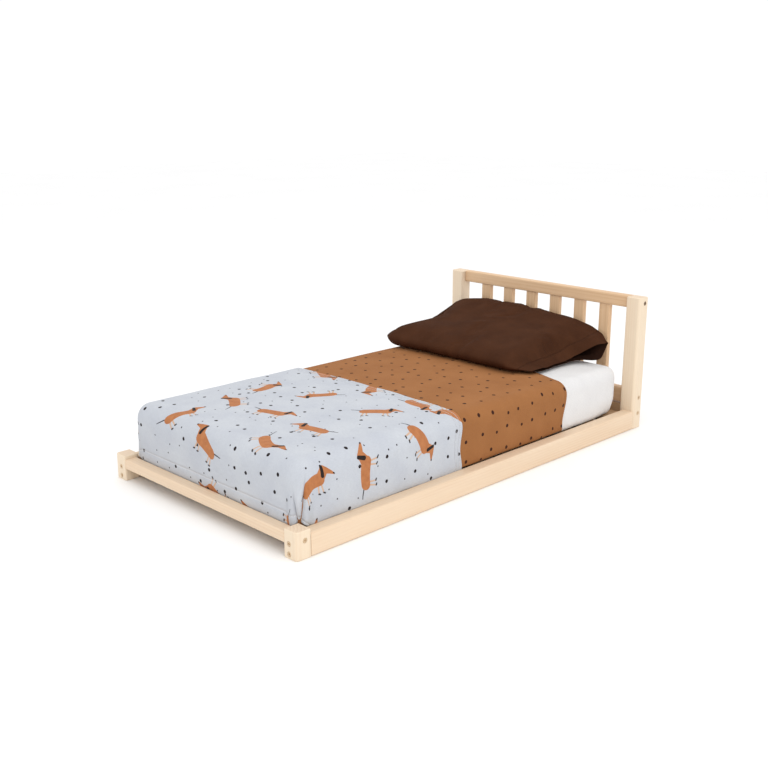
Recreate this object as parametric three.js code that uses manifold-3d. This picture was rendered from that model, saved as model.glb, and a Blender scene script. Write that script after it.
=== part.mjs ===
// A floor-level toddler bed: pine frame with a slatted headboard, mattress and bedding.
// Millimetres. +X is the bed's right side seen from the foot, +Y runs from foot to head, +Z is up.
// The origin is on the floor, at the middle of the frame.
import * as THREE from "three";
import { mergeVertices, toCreasedNormals } from "three/addons/utils/BufferGeometryUtils.js";
import Module from "manifold-3d";

const wasm = await Module();
wasm.setup();

// Outside size of the frame
const WIDTH = 782;
const LENGTH = 1442;
const HEAD_HEIGHT = 426;
const FOOT_HEIGHT = 72;

// Clearance between pieces that touch, and rounding of sawn edges
const GAP = 0.3;
const ARRIS = 4;

// Posts and rails
const POST = { footX: 46, headX: 50, y: 45, outerCorner: 10, chamfer: 2 };
const SIDE_RAIL = { thick: 41, high: 60, arris: 6 };
const FOOT_RAIL = { deep: 38, high: 28.5, top: 62, setBack: 1.5, arris: 6 };
const HEAD_RAIL_THICK = 28;
const HEAD_RAILS = {
  headboard_top_rail: { bottom: 388, top: HEAD_HEIGHT },
  headboard_lower_rail: { bottom: 77.5, top: 125.5 },
  head_cross_rail: { bottom: 29, top: 71 },
};

// Upright slats of the headboard, tenoned into its top and lower rails
const UPRIGHT = { count: 6, wide: 39, thick: 18.5, pitch: 98.7, tenon: 12, arris: 3.5 };

// Mattress support: a cleat on each side rail carries loose slats held in line by webbing
const CLEAT = { wide: 25, bottom: 4, top: 31, arris: 2 };
const BED_SLAT = { count: 11, wide: 72, thick: 19, arris: 2.5, foot: -675, head: 675, endPlay: 1 };
const STRAP = { wide: 25, thick: 1.5, x: 200 };

// Screws: socket heads sunk in counterbores, and smaller ones that hold the cleats
const FRAME_SCREW = { shank: 3, head: 6.6, headHigh: 3.8, sunk: 4.6, length: 80, socket: 2.9 };
const CLEAT_SCREW = { shank: 2, head: 4.1, headHigh: 2.4, sunk: 3, length: 44, socket: 1.6 };
const HOLE_CLEARANCE = 0.4;
const HOLE_MOUTH = 2;
const HOLE_PAST_POINT = 1;
const SCREW_SIDES = 12;
const RAIL_END_SCREWS = { fromSide: 27, heights: [12.5, 38.5] };
const FOOT_SIDE_SCREW = { fromFoot: 26, z: 47.5 };
const HEAD_SIDE_SCREW_FROM_BACK = 17;
const CLEAT_SCREWS_Y = [-480, 0, 480];

// Mattress for a full-size crib or toddler bed, and the layers of bedding over it. Each layer is a
// shell between two copies of the mattress that are let down below its hem.
const MATTRESS = { wide: 690, foot: -676, head: 645, top: 205, corner: 50, edge: 24 };
const SHELL_DROP = { outside: 72, inside: 96 };
const SHEET = { thick: 0.8, hem: 62 };
const COVER = { thick: 1.2, head: 384, hem: 64 };
const BLANKET = { thick: 1.6, head: -107, hem: 66 };
const PILLOW = { wide: 640, deep: 388, thick: 92, x: -15, back: 689, tilt: 9, corner: 90, swell: 42.3 };
const PILLOW_ABOVE_COVER = 0.8;

const PINE = { color: 0xe9c897, roughness: 0.6, metalness: 0 };
const END_PINE = { color: 0xe4c08c, roughness: 0.65, metalness: 0 };
const INNER_PINE = { color: 0xdcb988, roughness: 0.7, metalness: 0 };
const STEEL = { color: 0x8d7457, roughness: 0.45, metalness: 0.9 };
const WEBBING = { color: 0xe8e6e0, roughness: 0.95, metalness: 0 };
const TICKING = { color: 0xf2f1ee, roughness: 0.95, metalness: 0 };
const WHITE_COTTON = { color: 0xeeedf0, roughness: 0.9, metalness: 0 };
const OCHRE_COTTON = { color: 0x9a5f2b, roughness: 0.9, metalness: 0 };
const GREY_BLUE_FLEECE = { color: 0xb7bfca, roughness: 0.95, metalness: 0 };
const BROWN_COTTON = { color: 0x3a2013, roughness: 0.9, metalness: 0 };

const bed = new THREE.Group();

// ---- solids ----

function solidOf(geometry) {
  const bare = new THREE.BufferGeometry();
  const loose = geometry.index ? geometry.toNonIndexed() : geometry;
  bare.setAttribute("position", loose.getAttribute("position"));
  const merged = mergeVertices(bare, 1e-4);
  return new wasm.Manifold(
    new wasm.Mesh({
      numProp: 3,
      vertProperties: merged.getAttribute("position").array,
      triVerts: new Uint32Array(merged.index.array),
    }),
  );
}

function geometryOf(solid) {
  const mesh = solid.getMesh();
  const geometry = new THREE.BufferGeometry();
  geometry.setAttribute("position", new THREE.BufferAttribute(mesh.vertProperties, 3));
  geometry.setIndex(new THREE.BufferAttribute(mesh.triVerts, 1));
  return toCreasedNormals(geometry, Math.PI / 5);
}

// Takes each cutter, given in the bed's frame, out of a piece that is centred on its own place.
function cut(geometry, place, cutters) {
  let solid = solidOf(geometry);
  for (const cutter of cutters) {
    const local = cutter.clone().translate(-place.x, -place.y, -place.z);
    solid = solid.subtract(solidOf(local));
  }
  return geometryOf(solid);
}

function box(low, high) {
  const size = high.clone().sub(low);
  const middle = low.clone().add(high).multiplyScalar(0.5);
  return new THREE.BoxGeometry(size.x, size.y, size.z).translate(middle.x, middle.y, middle.z);
}

// A rectangle about the origin whose corners are rounded, in the order (-x,-y) (x,-y) (x,y) (-x,y).
function roundedRectangle(wide, high, radii) {
  const x = wide / 2;
  const y = high / 2;
  const [a, b, c, d] = radii;
  const shape = new THREE.Shape();
  shape.absarc(-x + a, -y + a, a, Math.PI, Math.PI * 1.5);
  shape.absarc(x - b, -y + b, b, Math.PI * 1.5, Math.PI * 2);
  shape.absarc(x - c, y - c, c, 0, Math.PI / 2);
  shape.absarc(-x + d, y - d, d, Math.PI / 2, Math.PI);
  return shape;
}

// A length of wood along Z, centred on the origin, with its long edges rounded and its ends chamfered.
function timber(wide, high, length, radii, end = 1) {
  const eased = radii.map((r) => Math.max(r - end, 0.5));
  const shape = roundedRectangle(wide - 2 * end, high - 2 * end, eased);
  const geometry = new THREE.ExtrudeGeometry(shape, {
    depth: length - 2 * end,
    bevelThickness: end,
    bevelSize: end,
    bevelSegments: 1,
    curveSegments: 3,
  });
  return geometry.translate(0, 0, end - length / 2);
}

function evenly(r) {
  return [r, r, r, r];
}

// Turns a timber so that it runs along Y, its profile's height pointing up.
function alongY(geometry) {
  return geometry.rotateX(Math.PI / 2);
}

// Turns a timber so that it runs along X, its profile's width along Y and its height up.
function alongX(geometry) {
  return geometry.rotateX(Math.PI / 2).rotateZ(Math.PI / 2);
}

function addPiece(name, geometry, look, place) {
  const mesh = new THREE.Mesh(geometry, new THREE.MeshStandardMaterial(look));
  mesh.name = name;
  mesh.position.copy(place);
  bed.add(mesh);
}

// ---- screws ----

// Every screw: its name, its size, the point where it enters the wood and the way it is driven.
function listScrews() {
  const screws = [];
  for (const [side, s] of [["left", -1], ["right", 1]]) {
    const endX = s * (WIDTH / 2 - RAIL_END_SCREWS.fromSide);
    const outerX = s * WIDTH / 2;
    const inward = new THREE.Vector3(-s, 0, 0);
    RAIL_END_SCREWS.heights.forEach((z, i) => {
      const level = i ? "upper" : "lower";
      screws.push({
        name: `foot_screw_${side}_${level}`,
        size: FRAME_SCREW,
        at: new THREE.Vector3(endX, -LENGTH / 2, z),
        way: new THREE.Vector3(0, 1, 0),
      });
      screws.push({
        name: `head_screw_${side}_${level}`,
        size: FRAME_SCREW,
        at: new THREE.Vector3(endX, LENGTH / 2, z),
        way: new THREE.Vector3(0, -1, 0),
      });
    });
    screws.push({
      name: `foot_rail_screw_${side}`,
      size: FRAME_SCREW,
      at: new THREE.Vector3(outerX, FOOT_SIDE_SCREW.fromFoot - LENGTH / 2, FOOT_SIDE_SCREW.z),
      way: inward,
    });
    for (const [rail, { bottom, top }] of Object.entries(HEAD_RAILS)) {
      screws.push({
        name: `${rail}_screw_${side}`,
        size: FRAME_SCREW,
        at: new THREE.Vector3(outerX, LENGTH / 2 - HEAD_SIDE_SCREW_FROM_BACK, (bottom + top) / 2),
        way: inward,
      });
    }
    const cleatX = s * (WIDTH / 2 - SIDE_RAIL.thick - GAP - CLEAT.wide);
    CLEAT_SCREWS_Y.forEach((y, i) => {
      screws.push({
        name: `cleat_screw_${side}_${i + 1}`,
        size: CLEAT_SCREW,
        at: new THREE.Vector3(cleatX, y, (CLEAT.bottom + CLEAT.top) / 2),
        way: new THREE.Vector3(s, 0, 0),
      });
    });
  }
  return screws;
}

// Turns a geometry made along +Y, mouth up, so that its mouth faces back out of the wood.
function driven(geometry, screw) {
  const out = screw.way.clone().negate();
  const turn = new THREE.Quaternion().setFromUnitVectors(new THREE.Vector3(0, 1, 0), out);
  return geometry.applyQuaternion(turn);
}

// The counterbore and pilot hole that a screw runs in, in the bed's frame.
function screwHole(screw) {
  const { shank, head, sunk, length } = screw.size;
  const wide = head + HOLE_CLEARANCE;
  const narrow = shank + HOLE_CLEARANCE;
  const end = -length - HOLE_PAST_POINT;
  const profile = [
    new THREE.Vector2(0, end),
    new THREE.Vector2(narrow, end),
    new THREE.Vector2(narrow, -sunk),
    new THREE.Vector2(wide, -sunk),
    new THREE.Vector2(wide, HOLE_MOUTH),
    new THREE.Vector2(0, HOLE_MOUTH),
  ];
  const hole = driven(new THREE.LatheGeometry(profile, SCREW_SIDES), screw);
  return hole.translate(screw.at.x, screw.at.y, screw.at.z);
}

function screwGeometry(screw) {
  const { shank, head, headHigh, sunk, length, socket } = screw.size;
  const seat = -sunk + GAP;
  const face = seat + headHigh;
  const ease = 0.6;
  const point = 6;
  const profile = [
    new THREE.Vector2(0, -length),
    new THREE.Vector2(shank, -length + point),
    new THREE.Vector2(shank, seat),
    new THREE.Vector2(head, seat),
    new THREE.Vector2(head, face - ease),
    new THREE.Vector2(head - ease, face),
    new THREE.Vector2(0, face),
  ];
  const body = solidOf(new THREE.LatheGeometry(profile, SCREW_SIDES));
  const recess = new THREE.CylinderGeometry(socket, socket, headHigh, 6);
  recess.translate(0, face, 0);
  return driven(geometryOf(body.subtract(solidOf(recess))), screw);
}

function addScrews(screws) {
  for (const screw of screws) {
    addPiece(screw.name, screwGeometry(screw), STEEL, screw.at);
  }
}

// ---- frame ----

// Each end's name and direction along Y, and how wide and how high its posts are
const ENDS = [
  ["foot", -1, POST.footX, FOOT_HEIGHT],
  ["head", 1, POST.headX, HEAD_HEIGHT],
];

function addPosts(holes) {
  const outer = POST.outerCorner;
  for (const [side, s] of [["left", -1], ["right", 1]]) {
    for (const [end, e, wide, high] of ENDS) {
      const corners = [[-1, -1], [1, -1], [1, 1], [-1, 1]];
      const radii = corners.map(([cx, cy]) => (cx === s && cy === -1 ? outer : ARRIS));
      const x = s * (WIDTH - wide) / 2;
      const y = e * (LENGTH - POST.y) / 2;
      const place = new THREE.Vector3(x, y, high / 2);
      const blank = timber(wide, POST.y, high, radii, POST.chamfer);
      addPiece(`${end}_post_${side}`, cut(blank, place, holes), END_PINE, place);
    }
  }
}

function addSideRails(holes) {
  const length = LENGTH - 2 * POST.y - 2 * GAP;
  for (const [side, s] of [["left", -1], ["right", 1]]) {
    const place = new THREE.Vector3(s * (WIDTH - SIDE_RAIL.thick) / 2, 0, SIDE_RAIL.high / 2);
    const blank = timber(SIDE_RAIL.thick, SIDE_RAIL.high, length, evenly(SIDE_RAIL.arris));
    addPiece(`side_rail_${side}`, cut(alongY(blank), place, holes), PINE, place);
  }
}

function addFootRail(holes) {
  const length = WIDTH - 2 * POST.footX - 2 * GAP;
  const y = FOOT_RAIL.setBack + FOOT_RAIL.deep / 2 - LENGTH / 2;
  const place = new THREE.Vector3(0, y, FOOT_RAIL.top - FOOT_RAIL.high / 2);
  const blank = timber(FOOT_RAIL.deep, FOOT_RAIL.high, length, evenly(FOOT_RAIL.arris));
  addPiece("foot_rail", cut(alongX(blank), place, holes), PINE, place);
}

function uprightPlaces() {
  const y = (LENGTH - HEAD_RAIL_THICK) / 2;
  const low = HEAD_RAILS.headboard_lower_rail.top - UPRIGHT.tenon;
  const high = HEAD_RAILS.headboard_top_rail.bottom + UPRIGHT.tenon;
  const places = [];
  for (let i = 0; i < UPRIGHT.count; i++) {
    const x = (i - (UPRIGHT.count - 1) / 2) * UPRIGHT.pitch;
    places.push(new THREE.Vector3(x, y, (low + high) / 2));
  }
  return { places, length: high - low };
}

function addHeadRails(holes) {
  const { places, length } = uprightPlaces();
  const halfSlot = new THREE.Vector3(UPRIGHT.wide, UPRIGHT.thick, length).multiplyScalar(0.5);
  halfSlot.addScalar(GAP);
  const mortises = places.map((p) => box(p.clone().sub(halfSlot), p.clone().add(halfSlot)));
  const span = WIDTH - 2 * POST.headX - 2 * GAP;
  for (const [name, { bottom, top }] of Object.entries(HEAD_RAILS)) {
    const place = new THREE.Vector3(0, (LENGTH - HEAD_RAIL_THICK) / 2, (bottom + top) / 2);
    const blank = alongX(timber(HEAD_RAIL_THICK, top - bottom, span, evenly(ARRIS)));
    const cutters = name === "head_cross_rail" ? holes : [...holes, ...mortises];
    addPiece(name, cut(blank, place, cutters), PINE, place);
  }
}

function addUprights() {
  const { places, length } = uprightPlaces();
  places.forEach((place, i) => {
    const slat = timber(UPRIGHT.wide, UPRIGHT.thick, length, evenly(UPRIGHT.arris));
    addPiece(`headboard_slat_${i + 1}`, slat, PINE, place);
  });
}

// ---- mattress support ----

function addCleats(holes) {
  const length = LENGTH - 2 * POST.y - 2 * GAP;
  const high = CLEAT.top - CLEAT.bottom;
  for (const [side, s] of [["left", -1], ["right", 1]]) {
    const x = s * (WIDTH / 2 - SIDE_RAIL.thick - GAP - CLEAT.wide / 2);
    const place = new THREE.Vector3(x, 0, CLEAT.bottom + high / 2);
    const blank = alongY(timber(CLEAT.wide, high, length, evenly(CLEAT.arris)));
    addPiece(`slat_cleat_${side}`, cut(blank, place, holes), INNER_PINE, place);
  }
}

function addBedSlats() {
  const { count, wide, thick, foot, head, arris, endPlay } = BED_SLAT;
  const length = WIDTH - 2 * SIDE_RAIL.thick - 2 * endPlay;
  const pitch = (head - foot - wide) / (count - 1);
  const z = CLEAT.top + GAP + thick / 2;
  for (let i = 0; i < count; i++) {
    const slat = alongX(timber(wide, thick, length, evenly(arris)));
    const place = new THREE.Vector3(0, foot + wide / 2 + i * pitch, z);
    addPiece(`bed_slat_${String(i + 1).padStart(2, "0")}`, slat, INNER_PINE, place);
  }
}

function addStraps() {
  const z = CLEAT.top - STRAP.thick / 2;
  const middle = (BED_SLAT.foot + BED_SLAT.head) / 2;
  const length = BED_SLAT.head - BED_SLAT.foot;
  for (const [side, s] of [["left", -1], ["right", 1]]) {
    const strap = new THREE.BoxGeometry(STRAP.wide, length, STRAP.thick);
    addPiece(`slat_strap_${side}`, strap, WEBBING, new THREE.Vector3(s * STRAP.x, middle, z));
  }
}

// ---- mattress and bedding ----

const MATTRESS_BOTTOM = CLEAT.top + GAP + BED_SLAT.thick + GAP;

// The mattress's shape grown outwards by a distance, its floor let down by another.
function mattressBlock(grow, drop) {
  const { wide, foot, head, top, corner, edge } = MATTRESS;
  const bevel = edge + grow;
  const bottom = MATTRESS_BOTTOM - drop;
  const outline = roundedRectangle(wide - 2 * edge, head - foot - 2 * edge, evenly(corner - edge));
  const block = new THREE.ExtrudeGeometry(outline, {
    depth: top + grow - bottom - 2 * bevel,
    bevelThickness: bevel,
    bevelSize: bevel,
    bevelSegments: 4,
    curveSegments: 4,
  });
  return block.translate(0, (foot + head) / 2, bottom + bevel);
}

// A layer of cloth over the mattress: a shell, open underneath, from the foot as far as its head edge.
function clothLayer(inside, thick, hem, headEdge) {
  const outer = solidOf(mattressBlock(inside + thick, SHELL_DROP.outside));
  const inner = solidOf(mattressBlock(inside, SHELL_DROP.inside));
  const low = new THREE.Vector3(-WIDTH, -LENGTH, hem);
  const high = new THREE.Vector3(WIDTH, headEdge, HEAD_HEIGHT);
  return geometryOf(outer.subtract(inner).intersect(solidOf(box(low, high))));
}

function addBedding() {
  const origin = new THREE.Vector3();
  const sheetInside = GAP;
  const coverInside = sheetInside + SHEET.thick + GAP;
  const blanketInside = coverInside + COVER.thick + GAP;
  const sheet = clothLayer(sheetInside, SHEET.thick, SHEET.hem, LENGTH);
  const cover = clothLayer(coverInside, COVER.thick, COVER.hem, COVER.head);
  const blanket = clothLayer(blanketInside, BLANKET.thick, BLANKET.hem, BLANKET.head);
  addPiece("mattress", mattressBlock(0, 0), TICKING, origin);
  addPiece("fitted_sheet", sheet, WHITE_COTTON, origin);
  addPiece("bed_cover", cover, OCHRE_COTTON, origin);
  addPiece("blanket", blanket, GREY_BLUE_FLEECE, origin);
}

// A plump pillow that lies on the cover and leans back towards the headboard.
function addPillow() {
  const { wide, deep, thick, x, back, tilt, corner, swell } = PILLOW;
  const outline = roundedRectangle(wide - 2 * swell, deep - 2 * swell, evenly(corner - swell));
  const pillow = new THREE.ExtrudeGeometry(outline, {
    depth: thick - 2 * swell,
    bevelThickness: swell,
    bevelSize: swell,
    bevelSegments: 6,
    curveSegments: 4,
  });
  pillow.rotateX(THREE.MathUtils.degToRad(tilt));
  pillow.computeBoundingBox();
  const { min, max } = pillow.boundingBox;
  const coverTop = MATTRESS.top + GAP + SHEET.thick + GAP + COVER.thick;
  const place = new THREE.Vector3(x, back - max.y, coverTop + PILLOW_ABOVE_COVER - min.z);
  addPiece("pillow", pillow, BROWN_COTTON, place);
}

const screws = listScrews();
const holes = screws.map(screwHole);
addPosts(holes);
addSideRails(holes);
addFootRail(holes);
addHeadRails(holes);
addUprights();
addCleats(holes);
addBedSlats();
addStraps();
addScrews(screws);
addBedding();
addPillow();

export default bed;
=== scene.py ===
"""A low pine toddler bed with its mattress, fitted sheet, dotted cover, printed blanket and pillow."""
import math
import random

import bmesh
import bpy
import numpy as np
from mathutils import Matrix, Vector, noise


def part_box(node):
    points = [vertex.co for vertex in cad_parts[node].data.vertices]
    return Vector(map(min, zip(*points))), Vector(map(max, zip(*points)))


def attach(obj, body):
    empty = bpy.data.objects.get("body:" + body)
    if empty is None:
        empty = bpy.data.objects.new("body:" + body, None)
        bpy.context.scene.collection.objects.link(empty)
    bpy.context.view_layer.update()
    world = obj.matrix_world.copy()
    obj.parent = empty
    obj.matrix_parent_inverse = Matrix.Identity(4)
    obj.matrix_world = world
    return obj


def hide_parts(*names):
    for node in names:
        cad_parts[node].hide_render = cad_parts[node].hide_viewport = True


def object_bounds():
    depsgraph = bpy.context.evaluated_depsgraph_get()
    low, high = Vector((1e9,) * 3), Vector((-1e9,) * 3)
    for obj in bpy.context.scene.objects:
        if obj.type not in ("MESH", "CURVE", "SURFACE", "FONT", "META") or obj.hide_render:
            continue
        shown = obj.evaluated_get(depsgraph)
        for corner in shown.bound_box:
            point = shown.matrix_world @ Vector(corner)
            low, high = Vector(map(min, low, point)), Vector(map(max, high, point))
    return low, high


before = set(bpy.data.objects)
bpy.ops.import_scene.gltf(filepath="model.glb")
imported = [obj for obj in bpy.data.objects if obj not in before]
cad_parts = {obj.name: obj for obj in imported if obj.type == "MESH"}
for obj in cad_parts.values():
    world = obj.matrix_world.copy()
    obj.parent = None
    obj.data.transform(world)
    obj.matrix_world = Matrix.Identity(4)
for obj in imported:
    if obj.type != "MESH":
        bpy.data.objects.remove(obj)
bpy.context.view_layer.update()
scene = bpy.context.scene


# ---- camera, light and floor ----

CAMERA_AT = (2.082, -2.110, 1.034)
CAMERA_TURN = 45.36
CAMERA_DIP = 15.59
CAMERA_LENS = 48.6
CAMERA_SENSOR = 36
SKY_STRENGTH = 1.04
FLOOR_SIZE = 12


def make_camera():
    camera = bpy.data.objects.new("camera", bpy.data.cameras.new("camera"))
    camera.data.lens = CAMERA_LENS
    camera.data.sensor_width = CAMERA_SENSOR
    camera.location = CAMERA_AT
    camera.rotation_euler = (math.radians(90 - CAMERA_DIP), 0, math.radians(CAMERA_TURN))
    scene.collection.objects.link(camera)
    scene.camera = camera


def add_area_light(name, at, target, size, watts, colour=(1, 1, 1)):
    light = bpy.data.lights.new(name, "AREA")
    light.shape = "SQUARE"
    light.size = size
    light.energy = watts
    light.color = colour
    lamp = bpy.data.objects.new(name, light)
    lamp.location = at
    lamp.rotation_euler = (Vector(target) - Vector(at)).to_track_quat("-Z", "Y").to_euler()
    scene.collection.objects.link(lamp)


def make_studio():
    world = bpy.data.worlds.new("studio")
    world.use_nodes = True
    background = world.node_tree.nodes["Background"]
    background.inputs["Color"].default_value = (1, 1, 1, 1)
    background.inputs["Strength"].default_value = SKY_STRENGTH
    scene.world = world
    scene.view_settings.view_transform = "Standard"
    add_area_light("key", (2.5, -1.5, 2.3), (0, 0, 0.2), 2.2, 21)
    add_area_light("top", (0.2, 0.2, 3.2), (0, 0, 0.2), 2.4, 12)

    floor_mesh = bmesh.new()
    bmesh.ops.create_grid(floor_mesh, x_segments=8, y_segments=8, size=FLOOR_SIZE)
    floor = link_mesh("floor", floor_mesh)
    floor.location.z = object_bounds()[0].z
    g = Graph("floor_paint")
    clouds = g.noise(g.coords("Object"), 1.5, 3)
    tone = g.ramp(clouds, [(0.3, (0.95, 0.95, 0.95)), (0.7, (0.97, 0.97, 0.97))])
    g.surface(color=tone, roughness=0.8)
    floor.data.materials.append(g.material)


# ---- meshes ----


def link_mesh(name, bm):
    mesh = bpy.data.meshes.new(name)
    bm.to_mesh(mesh)
    bm.free()
    piece = bpy.data.objects.new(name, mesh)
    scene.collection.objects.link(piece)
    return piece


def shade_smooth(piece):
    for polygon in piece.data.polygons:
        polygon.use_smooth = True


def add_modifier(piece, kind, **settings):
    modifier = piece.modifiers.new(kind.lower(), kind)
    for key, value in settings.items():
        setattr(modifier, key, value)
    return modifier


def smoothstep(low, high, value):
    t = min(max((value - low) / (high - low), 0.0), 1.0)
    return t * t * (3 - 2 * t)


def bump_at(x, y, z=0.0, size=0.1, seed=0.0):
    """Smooth noise from about -1 to 1, whose lumps are about size metres across."""
    return noise.noise(Vector((x / size + seed, y / size - seed, z / size + 0.37 * seed)))


# ---- materials ----


class Graph:
    """Builds one node material; every helper returns the socket that carries its result."""

    def __init__(self, name):
        self.material = bpy.data.materials.new(name)
        self.material.use_nodes = True
        self.tree = self.material.node_tree
        self.tree.nodes.clear()
        self.output = self.tree.nodes.new("ShaderNodeOutputMaterial")

    def node(self, kind, inputs=(), **settings):
        made = self.tree.nodes.new(kind)
        for key, value in settings.items():
            setattr(made, key, value)
        for key, value in dict(inputs).items():
            self.plug(made.inputs[key], value)
        return made

    def plug(self, socket, value):
        if isinstance(value, bpy.types.NodeSocket):
            self.tree.links.new(value, socket)
        elif socket.type == "RGBA":
            socket.default_value = (*value[:3], 1)
        else:
            socket.default_value = value

    def math(self, operation, a, b=0.0, c=0.0, clamp=False):
        made = self.node("ShaderNodeMath", {0: a, 1: b, 2: c}, operation=operation, use_clamp=clamp)
        return made.outputs[0]

    def vector(self, operation, a, b=(0, 0, 0)):
        made = self.node("ShaderNodeVectorMath", {0: a, 1: b}, operation=operation)
        return made.outputs["Value" if operation in ("DOT_PRODUCT", "DISTANCE", "LENGTH") else "Vector"]

    def scaled(self, a, factor):
        made = self.node("ShaderNodeVectorMath", {0: a, "Scale": factor}, operation="SCALE")
        return made.outputs["Vector"]

    def coords(self, which):
        return self.node("ShaderNodeTexCoord").outputs[which]

    def uv(self, name):
        return self.node("ShaderNodeUVMap", uv_map=name).outputs["UV"]

    def split(self, vector):
        made = self.node("ShaderNodeSeparateXYZ", {0: vector})
        return made.outputs

    def join(self, x, y=0.0, z=0.0):
        return self.node("ShaderNodeCombineXYZ", {0: x, 1: y, 2: z}).outputs[0]

    def mapping(self, vector, scale=(1, 1, 1), move=(0, 0, 0), turn=(0, 0, 0)):
        inputs = {"Vector": vector, "Scale": scale, "Location": move, "Rotation": turn}
        return self.node("ShaderNodeMapping", inputs).outputs[0]

    def noise(self, vector, scale, detail=2.0, roughness=0.5, distortion=0.0):
        inputs = {"Vector": vector, "Scale": scale, "Detail": detail, "Roughness": roughness,
                  "Distortion": distortion}
        return self.node("ShaderNodeTexNoise", inputs).outputs[0]

    def voronoi(self, vector, randomness=1.0):
        inputs = {"Vector": vector, "Scale": 1.0, "Randomness": randomness}
        return self.node("ShaderNodeTexVoronoi", inputs, voronoi_dimensions="2D").outputs

    def ramp(self, factor, stops):
        made = self.node("ShaderNodeValToRGB", {"Fac": factor})
        elements = made.color_ramp.elements
        while len(elements) < len(stops):
            elements.new(0.5)
        for element, (place, colour) in zip(elements, stops):
            element.position = place
            element.color = (*colour, 1)
        return made.outputs["Color"]

    def span(self, value, low, high, to_low=0.0, to_high=1.0, smooth=False):
        inputs = {"Value": value, "From Min": low, "From Max": high, "To Min": to_low, "To Max": to_high}
        kind = "SMOOTHSTEP" if smooth else "LINEAR"
        return self.node("ShaderNodeMapRange", inputs, interpolation_type=kind).outputs[0]

    def mix(self, factor, a, b, blend="MIX"):
        made = self.node("ShaderNodeMix", {0: factor}, data_type="RGBA", blend_type=blend)
        self.plug(made.inputs[6], a)
        self.plug(made.inputs[7], b)
        return made.outputs[2]

    def bump(self, height, distance, normal=None):
        inputs = {"Height": height, "Distance": distance, "Strength": 1.0}
        made = self.node("ShaderNodeBump", inputs)
        if normal is not None:
            self.plug(made.inputs["Normal"], normal)
        return made.outputs[0]

    def surface(self, color, roughness, normal=None, **sockets):
        inputs = {"Base Color": color, "Roughness": roughness}
        inputs.update({key.replace("_", " ").title(): value for key, value in sockets.items()})
        made = self.node("ShaderNodeBsdfPrincipled")
        for key, value in inputs.items():
            match = [s for s in made.inputs if s.name.lower() == key.lower()]
            self.plug(match[0], value)
        if normal is not None:
            self.plug(made.inputs["Normal"], normal)
        self.tree.links.new(made.outputs[0], self.output.inputs["Surface"])


AXES = {"X": 0, "Y": 1, "Z": 2}

# Each kind of wooden piece: its early wood, its late wood, and how strongly the grain stands out
PINE_TONES = {
    "post": ((0.81, 0.675, 0.51), (0.70, 0.50, 0.33), 0.55),
    "rail": ((0.79, 0.620, 0.45), (0.67, 0.455, 0.28), 0.75),
    # The headboard tone is darker than the posts partly as painted shade; the two tones below it are painted
    # shade, for the headboard's low rail and for the pieces under the mattress
    "headboard": ((0.72, 0.495, 0.300), (0.58, 0.350, 0.185), 1.0),
    "low_rail": ((0.66, 0.445, 0.270), (0.54, 0.330, 0.175), 1.0),
    "cross_rail": ((0.53, 0.345, 0.200), (0.42, 0.255, 0.135), 1.0),
}


# Wood, in metres: how far its grain wanders, and how far outside the piece the pith may lie
GRAIN_WANDER = 0.014
GRAIN_STRETCH = 0.05
PITH_AWAY = (0.03, 0.07)
RINGS_PER_METRE = (95, 150)
END_GRAIN = ((0.78, 0.62, 0.46), (0.62, 0.42, 0.25), (0.55, 0.38, 0.24))


def stretched_scale(axis, across, along):
    """A texture scale that is coarser along the grain than across it."""
    scale = [across, across, across]
    scale[AXES[axis]] = along
    return scale


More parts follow.
